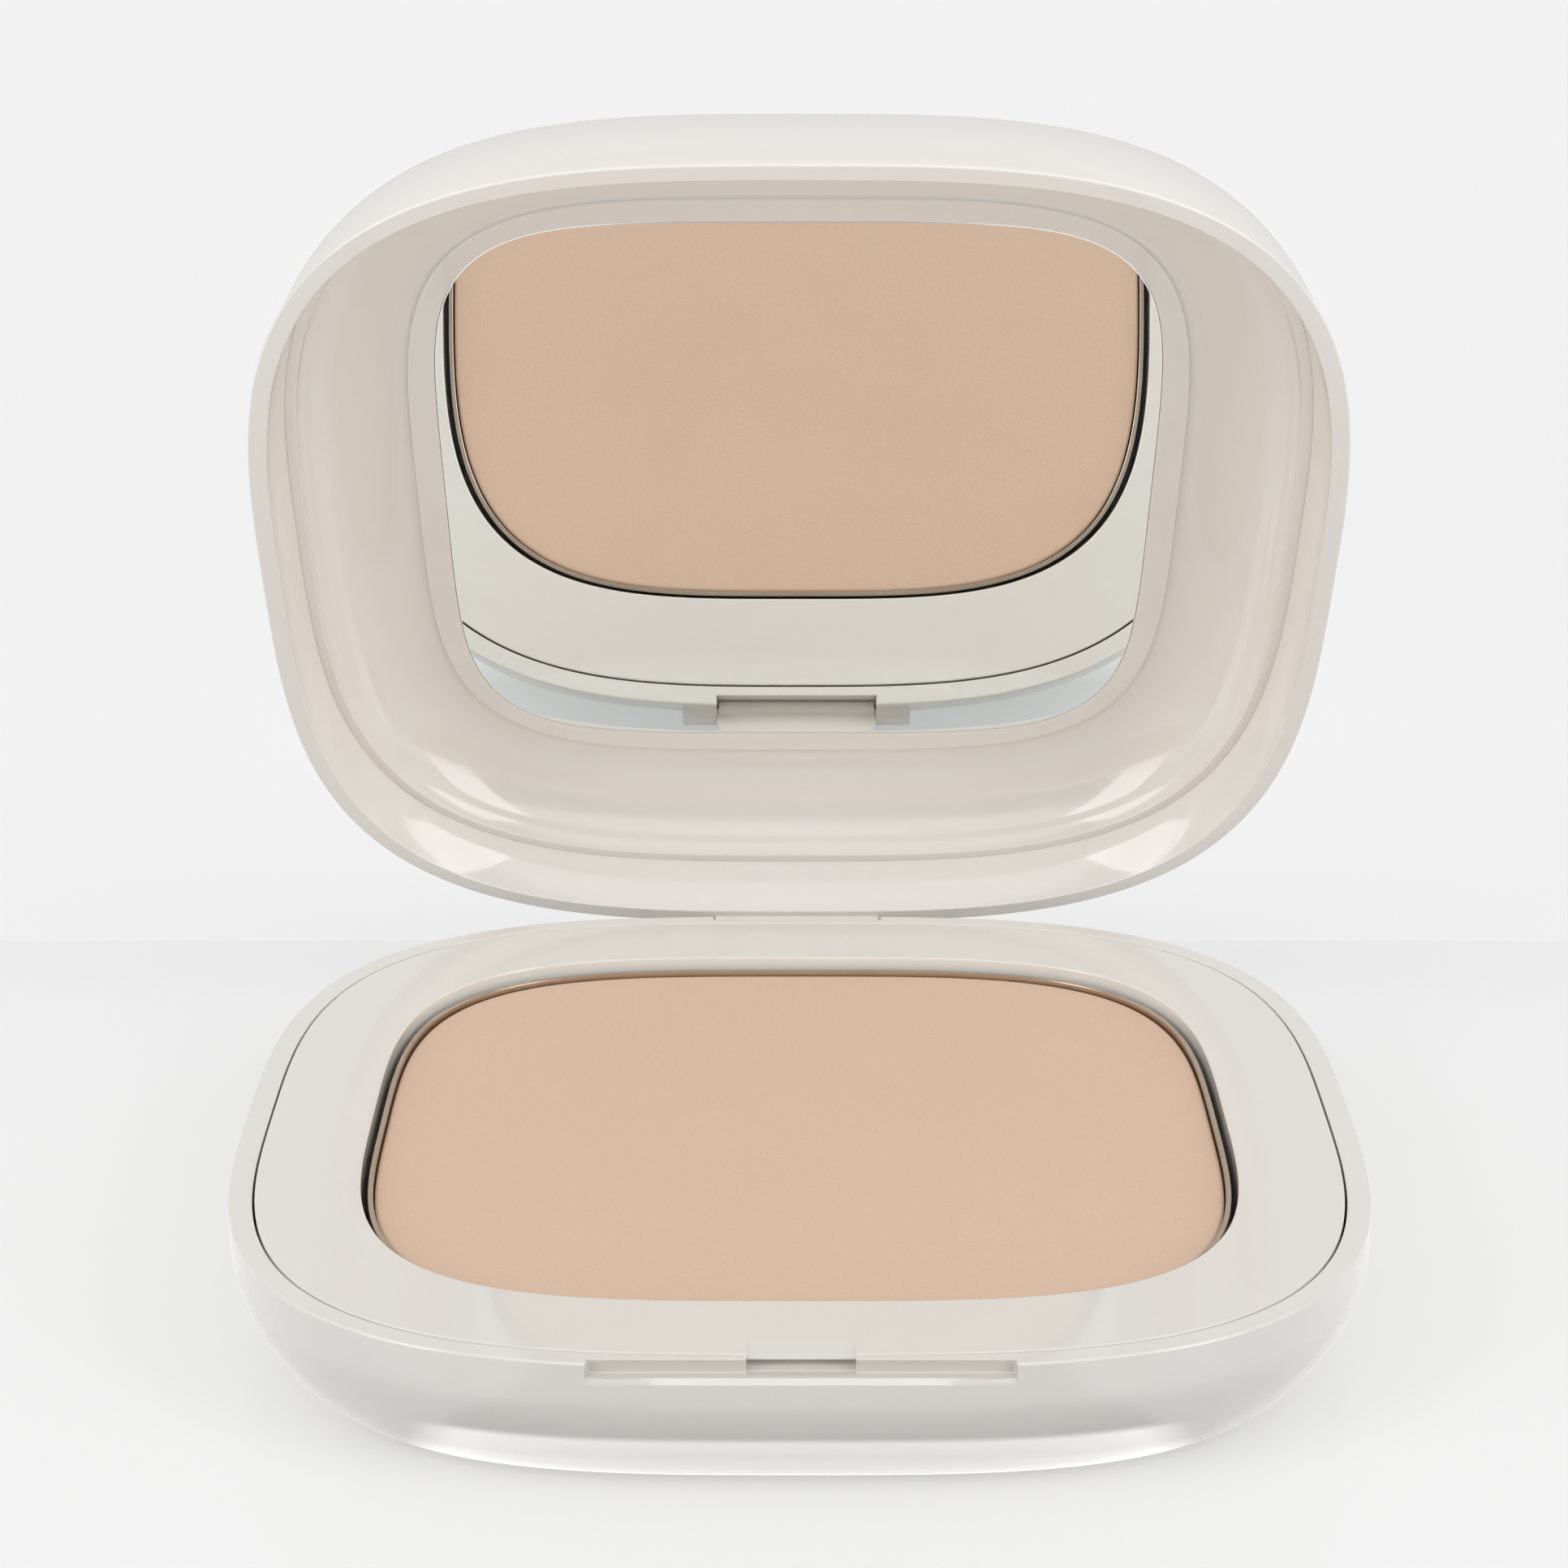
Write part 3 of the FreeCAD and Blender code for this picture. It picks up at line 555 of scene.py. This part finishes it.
def make_liner():
    R = [at(outline(MIRROR[0] + 0.02, MIRROR[1] + 0.02, MIRROR[2], 0, MIRROR_DY), RZ + LINER_TOP - 0.55)]
    pocket = lambda off, z: at(outline(MIRROR[0] + 0.02, MIRROR[1] + 0.02, MIRROR[2], off, MIRROR_DY), RZ + z)
    top = MIRROR_FACE - 0.05
    R.append(pocket(0, top + 0.09))
    for a in arc(3):
        R.append(pocket(-0.06 + 0.06 * math.cos(a), top + 0.06 - 0.06 * math.sin(a)))
    R.append(pocket(-0.09, top))
    bez = lambda off, z: at(outline(*BEZEL, off, MIRROR_DY), RZ + z)
    R.append(bez(0.13, top))
    for a in arc(4, 90, 0):
        R.append(bez(0.10 - 0.10 * math.cos(a), top + 0.10 - 0.10 * math.sin(a)))
    # a small fillet from the border's side into the bowl
    R.append(bez(-0.02, BOWL_H - 0.12))
    R.append(bez(-0.10, BOWL_H - 0.04))
    R.append(bez(-0.25, BOWL_H - 0.005))
    for a in np.linspace(90, 0, 31):
        R.append(bowl(math.radians(a)))
    e = 0.09
    last = R.pop()
    R.append(at(EDGE, RZ + LEDGE_H + e + 0.02))
    for a in arc(4):
        R.append(at(out_line(HALF - LEDGE_IN - e + e * math.cos(a)), RZ + LEDGE_H + e - e * math.sin(a)))
    R.append(at(out_line(HALF - LEDGE_IN - e - 0.03), RZ + LEDGE_H))
    o0 = LID_WALL + lid_inset(LEDGE_H) + 0.015
    R.append(at(out_line(o0 + 0.06), RZ + LEDGE_H))
    for a in arc(3, 90, 0):
        R.append(at(out_line(o0 + 0.03 - 0.03 * math.sin(math.pi / 2 - a)), RZ + LEDGE_H + 0.03 - 0.03 * math.sin(a)))
    for hh, g in ((5.2, 0.03), (5.8, 0.05), (6.6, 0.08), (7.7, 0.12), (8.8, 0.14), (9.8, 0.2), (10.4, 0.4), (10.7, 0.6), (11.1, 1.2)):
        R.append(fit_inside(hh, g))
    R.append(at(out_line(LID_WALL + lid_inset(11.3) + 1.6), RZ + LINER_TOP))
    edge = out_line(LID_WALL + lid_inset(11.3) + 1.6)
    R += disc(edge, RZ + LINER_TOP, 6)[::-1][1:]
    floor = outline(MIRROR[0] + 0.02, MIRROR[1] + 0.02, MIRROR[2], 0, MIRROR_DY)
    start = disc(floor, RZ + LINER_TOP - 0.55, 6, centre=(0, MIRROR_DY))
    R = start[:-1] + R
    return skin("compact_mirror_frame", R, cap0=(0, MIRROR_DY, RZ + LINER_TOP - 0.55), cap1=(0, 0, RZ + LINER_TOP), move=opened)


def make_glass():
    g = lambda off, z: at(outline(*MIRROR, off, MIRROR_DY), RZ + z)
    f, b = MIRROR_FACE, MIRROR_FACE + MIRROR_T
    R = [at(np.array([0, MIRROR_DY]) + (g(0.09, f)[:, :2] - np.array([0, MIRROR_DY])) * s, RZ + f) for s in (0.05, 0.3, 0.6, 0.85, 1.0)]
    R += [g(0.07, f), g(0.02, f + 0.03), g(0.0, f + 0.10), g(0, b - 0.10), g(0.1, b)]
    R += [at(np.array([0, MIRROR_DY]) + (g(0.1, b)[:, :2] - np.array([0, MIRROR_DY])) * s, RZ + b) for s in (0.6, 0.2)]
    return skin("compact_mirror", R, cap0=(0, MIRROR_DY, RZ + f), cap1=(0, MIRROR_DY, RZ + b), move=opened)


# ------------------------------------------------------------------ materials
def nodes_of(name):
    m = bpy.data.materials.new(name)
    m.use_nodes = True
    nt = m.node_tree
    return m, nt, nt.nodes["Principled BSDF"]


def add(nt, kind, **kw):
    n = nt.nodes.new(kind)
    for k, v in kw.items():
        setattr(n, k, v)
    return n


def noise(nt, vec, scale, detail=3.0, rough=0.5, distortion=0.0):
    n = add(nt, "ShaderNodeTexNoise")
    n.inputs["Scale"].default_value = scale
    n.inputs["Detail"].default_value = detail
    n.inputs["Roughness"].default_value = rough
    n.inputs["Distortion"].default_value = distortion
    nt.links.new(vec, n.inputs["Vector"])
    return n.outputs["Fac"]


def remap(nt, src, a, b, lo, hi):
    n = add(nt, "ShaderNodeMapRange")
    for k, v in (("From Min", a), ("From Max", b), ("To Min", lo), ("To Max", hi)):
        n.inputs[k].default_value = v
    nt.links.new(src, n.inputs["Value"])
    return n.outputs["Result"]


def mix(nt, fac, c0, c1):
    n = add(nt, "ShaderNodeMix", data_type="RGBA")
    if isinstance(fac, float):
        n.inputs["Factor"].default_value = fac
    else:
        nt.links.new(fac, n.inputs["Factor"])
    for key, c in (("A", c0), ("B", c1)):
        sock = [s for s in n.inputs if s.name == key and s.type == "RGBA"][0]
        if isinstance(c, tuple):
            sock.default_value = (*c, 1.0)
        else:
            nt.links.new(c, sock)
    return [s for s in n.outputs if s.type == "RGBA"][0]


def math_node(nt, op, a, b=None, clamp=False):
    n = add(nt, "ShaderNodeMath", operation=op, use_clamp=clamp)
    for i, v in enumerate((a, b)):
        if v is None:
            continue
        if isinstance(v, (int, float)):
            n.inputs[i].default_value = v
        else:
            nt.links.new(v, n.inputs[i])
    return n.outputs[0]


def bump(nt, height, distance, strength=1.0, below=None):
    n = add(nt, "ShaderNodeBump")
    n.inputs["Distance"].default_value = distance
    n.inputs["Strength"].default_value = strength
    nt.links.new(height, n.inputs["Height"])
    if below is not None:
        nt.links.new(below, n.inputs["Normal"])
    return n.outputs["Normal"]


def recess(nt, col, lo, hi, soft, depth):
    """Painted shade: darkens the colour inside a box, in object space, with a soft border."""
    pos = add(nt, "ShaderNodeTexCoord").outputs["Object"]
    sp = add(nt, "ShaderNodeSeparateXYZ")
    nt.links.new(pos, sp.inputs[0])
    fac = None
    for i, k in enumerate("XYZ"):
        up = remap(nt, sp.outputs[k], lo[i] - soft, lo[i], 0.0, 1.0)
        dn = remap(nt, sp.outputs[k], hi[i], hi[i] + soft, 1.0, 0.0)
        one = math_node(nt, "MULTIPLY", up, dn)
        fac = one if fac is None else math_node(nt, "MULTIPLY", fac, one)
    dark = add(nt, "ShaderNodeMix", data_type="RGBA", blend_type="MULTIPLY")
    nt.links.new(math_node(nt, "MULTIPLY", fac, 1.0), dark.inputs["Factor"])
    socks = [s for s in dark.inputs if s.type == "RGBA"]
    nt.links.new(col, socks[0])
    socks[1].default_value = (*depth, 1.0)
    return [s for s in dark.outputs if s.type == "RGBA"][0]


def plastic(name, base, tint, rough=0.10, seed=0.0, slot=None):
    """Glossy moulded plastic: faint flow tint, slightly uneven gloss, orange peel, softened edges, and painted shade
    inside an optional box.
    """
    m, nt, b = nodes_of(name)
    tc = add(nt, "ShaderNodeTexCoord").outputs["Object"]
    mp = add(nt, "ShaderNodeMapping")
    mp.inputs["Location"].default_value = (seed, seed * 0.7, -seed)
    nt.links.new(tc, mp.inputs["Vector"])
    v = mp.outputs["Vector"]
    flow = noise(nt, v, 38.0, 2.0, 0.45, 0.6)
    fine = noise(nt, v, 900.0, 2.0)
    col = mix(nt, remap(nt, flow, 0.30, 0.70, 0.0, 1.0), base, tint)
    speck = mix(nt, remap(nt, fine, 0.35, 0.65, 0.0, 0.06), col, tuple(c * 0.93 for c in base))
    geo = add(nt, "ShaderNodeNewGeometry")
    edge = remap(nt, geo.outputs["Pointiness"], 0.53, 0.62, 0.0, 1.0)
    wear_and_painted_shade = mix(nt, math_node(nt, "MULTIPLY", edge, 0.25), speck, tuple(min(1.0, c * 1.05) for c in base))
    # painted shade: the colour is darkened inside the given box
    if slot:
        wear_and_painted_shade = recess(nt, wear_and_painted_shade, *slot)
    nt.links.new(wear_and_painted_shade, b.inputs["Base Color"])
    gloss = noise(nt, v, 120.0, 4.0, 0.6)
    r = remap(nt, gloss, 0.30, 0.70, rough * 0.85, rough * 1.2)
    r = math_node(nt, "ADD", r, math_node(nt, "MULTIPLY", edge, 0.05))
    nt.links.new(r, b.inputs["Roughness"])
    b.inputs["IOR"].default_value = 1.50
    b.inputs["Coat Weight"].default_value = 0.55
    b.inputs["Coat Roughness"].default_value = 0.025
    peel = noise(nt, v, 620.0, 2.0, 0.5)
    n1 = bump(nt, peel, 0.0000022, 1.0)
    grain = noise(nt, v, 5200.0, 1.0)
    nt.links.new(bump(nt, grain, 0.0000006, 1.0, n1), b.inputs["Normal"])
    return m


def powder_material():
    m, nt, b = nodes_of("pressed_powder")
    v = add(nt, "ShaderNodeTexCoord").outputs["Object"]
    patch = noise(nt, v, 60.0, 2.0, 0.4)
    grain = noise(nt, v, 4200.0, 2.0, 0.6)
    mid = noise(nt, v, 1400.0, 3.0, 0.55)
    c = mix(nt, remap(nt, patch, 0.3, 0.7, 0.0, 1.0), (0.800, 0.580, 0.432), (0.812, 0.592, 0.444))
    c = mix(nt, remap(nt, grain, 0.35, 0.65, 0.0, 0.22), c, (0.66, 0.46, 0.345))
    c = mix(nt, remap(nt, mid, 0.58, 0.75, 0.0, 0.20), c, (0.86, 0.68, 0.56))
    nt.links.new(c, b.inputs["Base Color"])
    nt.links.new(remap(nt, mid, 0.3, 0.7, 0.78, 0.95), b.inputs["Roughness"])
    b.inputs["Specular IOR Level"].default_value = 0.25
    b.inputs["Sheen Weight"].default_value = 0.08
    b.inputs["Sheen Roughness"].default_value = 0.6
    n1 = bump(nt, mid, 0.00002, 0.6)
    nt.links.new(bump(nt, grain, 0.00001, 0.6, n1), b.inputs["Normal"])
    return m


def metal(name, colour, rough, stretch=(1.0, 1.0, 60.0)):
    m, nt, b = nodes_of(name)
    tc = add(nt, "ShaderNodeTexCoord").outputs["Object"]
    mp = add(nt, "ShaderNodeMapping")
    mp.inputs["Scale"].default_value = stretch
    nt.links.new(tc, mp.inputs["Vector"])
    drawn = noise(nt, mp.outputs["Vector"], 160.0, 4.0, 0.6)
    dull = noise(nt, tc, 300.0, 3.0)
    nt.links.new(mix(nt, remap(nt, dull, 0.3, 0.7, 0.0, 0.6), colour, tuple(c * 0.88 for c in colour)), b.inputs["Base Color"])
    b.inputs["Metallic"].default_value = 1.0
    nt.links.new(remap(nt, drawn, 0.3, 0.7, rough * 0.7, rough * 1.4), b.inputs["Roughness"])
    nt.links.new(bump(nt, drawn, 0.0000015, 1.0), b.inputs["Normal"])
    return m


def mirror_material():
    m, nt, b = nodes_of("silvered_glass")
    v = add(nt, "ShaderNodeTexCoord").outputs["Object"]
    film = noise(nt, v, 70.0, 4.0, 0.6)
    nt.links.new(mix(nt, remap(nt, film, 0.35, 0.7, 0.0, 1.0), (0.925, 0.935, 0.925), (0.905, 0.915, 0.905)), b.inputs["Base Color"])
    b.inputs["Metallic"].default_value = 1.0
    nt.links.new(remap(nt, film, 0.45, 0.75, 0.0, 0.012), b.inputs["Roughness"])
    return m


def film_material():
    m, nt, b = nodes_of("adhesive_film")
    v = add(nt, "ShaderNodeTexCoord").outputs["Object"]
    weave = noise(nt, v, 1200.0, 4.0, 0.7)
    nt.links.new(mix(nt, weave, (0.76, 0.75, 0.72), (0.86, 0.85, 0.82)), b.inputs["Base Color"])
    b.inputs["Roughness"].default_value = 0.55
    nt.links.new(bump(nt, weave, 0.00002, 0.7), b.inputs["Normal"])
    return m


# painted shade: the thumb slot's back wall and floor are darkened in colour to stand for the shade in that recess
SLOT_PAINTED_SHADE = ((-0.0136, -0.0396, 0.00998), (0.0136, -0.03880, 0.01095), 0.00006, (0.80, 0.775, 0.75))
CASE = plastic("case_plastic", (0.872, 0.850, 0.805), (0.882, 0.862, 0.820), 0.06, 0.0, SLOT_PAINTED_SHADE)
INNER = plastic("tray_plastic", (0.872, 0.848, 0.800), (0.882, 0.860, 0.816), 0.07, 0.37)
# the pan's metal colour is grey aluminium with a warm brown tint that is painted reflection of the powder
ALU = metal("drawn_aluminium", (0.58, 0.50, 0.42), 0.20)
STEEL = metal("pin_steel", (0.60, 0.59, 0.57), 0.28, (40.0, 1.0, 1.0))
POWDER = powder_material()
SILVER = mirror_material()
FILM = film_material()


def place(ob, body, node, material):
    ob.data.materials.clear()
    ob.data.materials.append(material)
    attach(ob, body)
    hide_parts(node)
    return ob


place(make_base(), "base", "base_shell", CASE)
place(make_pin(), "base", "hinge_pin", STEEL)
place(make_tray(), "refill", "refill_tray", INNER)
place(make_pan(), "refill", "powder_pan", ALU)
place(make_cake(), "refill", "powder_cake", POWDER)
place(make_lid(), "lid", "lid_shell", CASE)
place(make_liner(), "lid", "mirror_frame", INNER)
place(make_glass(), "lid", "mirror_glass", SILVER)
for node in ("pan_pad", "mirror_pad"):
    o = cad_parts[node]
    o.data.materials.clear()
    o.data.materials.append(FILM)

# ------------------------------------------------------------------ stage
def ramp(nt, src, stops):
    """Piecewise-linear grey tone: stops are (position in metres, value)."""
    out = None
    for (p0, v0), (p1, v1) in zip(stops, stops[1:]):
        seg = remap(nt, src, p0, p1, v0, v1) if out is None else remap(nt, src, p0, p1, 0.0, v1 - v0)
        out = seg if out is None else math_node(nt, "ADD", out, seg)
    return out


fm = bpy.data.materials.new("stage_floor")
fm.use_nodes = True
nt = fm.node_tree
b = nt.nodes["Principled BSDF"]
out = nt.nodes["Material Output"]
b.inputs["Base Color"].default_value = (0.50, 0.50, 0.50, 1)
b.inputs["Roughness"].default_value = 0.13
b.inputs["IOR"].default_value = 1.30
em = add(nt, "ShaderNodeEmission")
em.inputs["Strength"].default_value = 1.0
pos = add(nt, "ShaderNodeNewGeometry").outputs["Position"]
sep = add(nt, "ShaderNodeSeparateXYZ")
nt.links.new(pos, sep.inputs[0])
fx = math_node(nt, "ABSOLUTE", sep.outputs["X"])
fy = sep.outputs["Y"]
# tone the camera sees: even in front, dimmed by painted shade from under the compact to one faint step behind it, and
# darker again further back
seen = ramp(nt, fy, ((-0.12, 0.45), (-0.05, 0.45), (0.0, 0.43), (0.055, 0.405), (0.0629, 0.405), (0.0631, 0.435), (0.188, 0.38), (0.64, 0.325), (1.2, 0.28)))
# tone met by scattered light: brighter than white far in front, below zero (it takes light away) close in front and just behind
lit = ramp(nt, fy, ((-0.40, 1.25), (-0.14, 0.95), (-0.10, -0.26), (-0.060, -0.40), (-0.046, 0.02), (0.03, 0.20), (0.05, -0.05), (0.10, -0.05), (0.20, 0.30)))
# tone met by reflections: below zero in front of the middle, brighter than white under the body's front edge, grey behind
rad = math_node(nt, "POWER", math_node(nt, "ADD", math_node(nt, "POWER", fx, 3.0), math_node(nt, "POWER", math_node(nt, "ABSOLUTE", fy), 3.0)), 1.0 / 3.0)
under = math_node(nt, "MULTIPLY", remap(nt, rad, 0.0395, 0.0404, 1.0, 0.0), math_node(nt, "MULTIPLY", remap(nt, fy, -0.010, 0.0, 1.0, 0.0), remap(nt, fx, 0.0235, 0.0285, 1.0, 0.0)))
ahead = math_node(nt, "MULTIPLY", remap(nt, fx, 0.0225, 0.0260, 1.0, 0.0), remap(nt, fy, -0.034, -0.032, 1.0, 0.0))
shine = math_node(nt, "SUBTRACT", remap(nt, fx, 0.030, 0.036, 0.60, 0.53), math_node(nt, "MULTIPLY", ahead, 1.10))
shine = math_node(nt, "MAXIMUM", shine, math_node(nt, "MULTIPLY", under, math_node(nt, "ADD", remap(nt, rad, 0.0375, 0.0395, 0.0, 1.2), remap(nt, rad, 0.0350, 0.0370, 1.15, 1.7))))
behind = remap(nt, fy, 0.030, 0.036, 0.0, 1.0)
shine = mix(nt, behind, shine, (0.34, 0.355, 0.355))
lp = add(nt, "ShaderNodeLightPath")
tone = mix(nt, lp.outputs["Is Glossy Ray"], lit, shine)
tone = mix(nt, lp.outputs["Is Camera Ray"], tone, seen)
nt.links.new(tone, em.inputs["Color"])
adds = add(nt, "ShaderNodeAddShader")
nt.links.new(b.outputs["BSDF"], adds.inputs[0])
nt.links.new(em.outputs["Emission"], adds.inputs[1])
nt.links.new(adds.outputs[0], out.inputs["Surface"])
me = bpy.data.meshes.new("stage_floor")
S = 4.0
me.from_pydata([(-S, -S, 0), (S, -S, 0), (S, S, 0), (-S, S, 0)], [], [(0, 1, 2, 3)])
me.materials.append(fm)
floor = bpy.data.objects.new("stage_floor", me)
bpy.context.scene.collection.objects.link(floor)
floor.location.z = -0.00002

# ------------------------------------------------------------------ light
w = bpy.data.worlds.new("studio")
bpy.context.scene.world = w
w.use_nodes = True
wn = w.node_tree
bg = wn.nodes["Background"]
d = add(wn, "ShaderNodeTexCoord").outputs["Generated"]
ds = add(wn, "ShaderNodeSeparateXYZ")
wn.links.new(d, ds.inputs[0])
front = math_node(wn, "MULTIPLY", ds.outputs["Y"], -1.0)
side = math_node(wn, "ABSOLUTE", ds.outputs["X"])
flat = math_node(wn, "ARCTAN2", side, front)                  # 0 in front, pi behind
elev = math_node(wn, "ARCSINE", ds.outputs["Z"])
# two tall soft boxes either side of the camera, a dimmer gap between them
box_in = remap(wn, flat, math.radians(43.5), math.radians(45), 0.0, 1.0)
box_out = remap(wn, flat, math.radians(68), math.radians(70), 1.0, 0.0)
box_top = remap(wn, elev, math.radians(48), math.radians(50), 1.0, 0.0)
box_low = remap(wn, elev, math.radians(-2), math.radians(2), 0.0, 1.0)
softbox = math_node(wn, "MULTIPLY", math_node(wn, "MULTIPLY", box_in, box_out), math_node(wn, "MULTIPLY", box_top, box_low))
gap = remap(wn, flat, math.radians(38), math.radians(46), 1.0, 0.0)
gap = math_node(wn, "MULTIPLY", gap, remap(wn, elev, math.radians(24), math.radians(32), 1.0, 0.0))
# a wide panel high in front
panel = math_node(wn, "MULTIPLY", remap(wn, flat, math.radians(50), math.radians(64), 1.0, 0.0),
                  math_node(wn, "MULTIPLY", remap(wn, elev, math.radians(22), math.radians(30), 0.0, 1.0), remap(wn, elev, math.radians(52), math.radians(66), 1.0, 0.0)))
back = remap(wn, flat, math.radians(120), math.radians(150), 0.0, 1.0)
amb = remap(wn, elev, math.radians(10), math.radians(60), 0.63, 0.605)
lum = math_node(wn, "ADD", amb, math_node(wn, "MULTIPLY", softbox, 2.6))
lum = math_node(wn, "SUBTRACT", lum, math_node(wn, "MULTIPLY", gap, 0.52))
lum = math_node(wn, "ADD", lum, math_node(wn, "MULTIPLY", panel, 0.60))
lum = math_node(wn, "ADD", lum, math_node(wn, "MULTIPLY", back, remap(wn, elev, math.radians(48), math.radians(52), 0.10, -0.22)))
wn.links.new(lum, bg.inputs["Strength"])
bg.inputs["Color"].default_value = (1.0, 1.0, 1.0, 1)


# ------------------------------------------------------------------ camera
cam = bpy.data.cameras.new("camera")
cam.sensor_width = 36.0
cam.lens = 36.0 * 4552.1 / 1932
cam.shift_y = 0.186
cam.clip_start, cam.clip_end = 0.01, 20.0
co = bpy.data.objects.new("camera", cam)
bpy.context.scene.collection.objects.link(co)
co.location = (-0.00108, -0.24575, 0.11891)
co.rotation_euler = (math.radians(66.839), 0, 0)
bpy.context.scene.camera = co
# the still is taken with a shifted film plane; from any other camera place the shift goes back to zero
STEPS = 40
drv = cam.driver_add("shift_y")
drv.driver.type = "SUM"
for _ in range(STEPS):
    var = drv.driver.variables.new()
    var.type = "TRANSFORMS"
    var.targets[0].id = co
    var.targets[0].transform_type = "LOC_Y"
    var.targets[0].transform_space = "WORLD_SPACE"
for m in list(drv.modifiers):
    drv.modifiers.remove(m)
mid = -0.24575 * STEPS
for y, v in ((mid - 0.04, 0.0), (mid - 0.012, 0.186), (mid + 0.012, 0.186), (mid + 0.04, 0.0)):
    k = drv.keyframe_points.insert(y, v)
    k.interpolation = "LINEAR"
drv.extrapolation = "CONSTANT"
drv.update()
bpy.context.view_layer.update()

bpy.context.scene.view_settings.view_transform = "Standard"
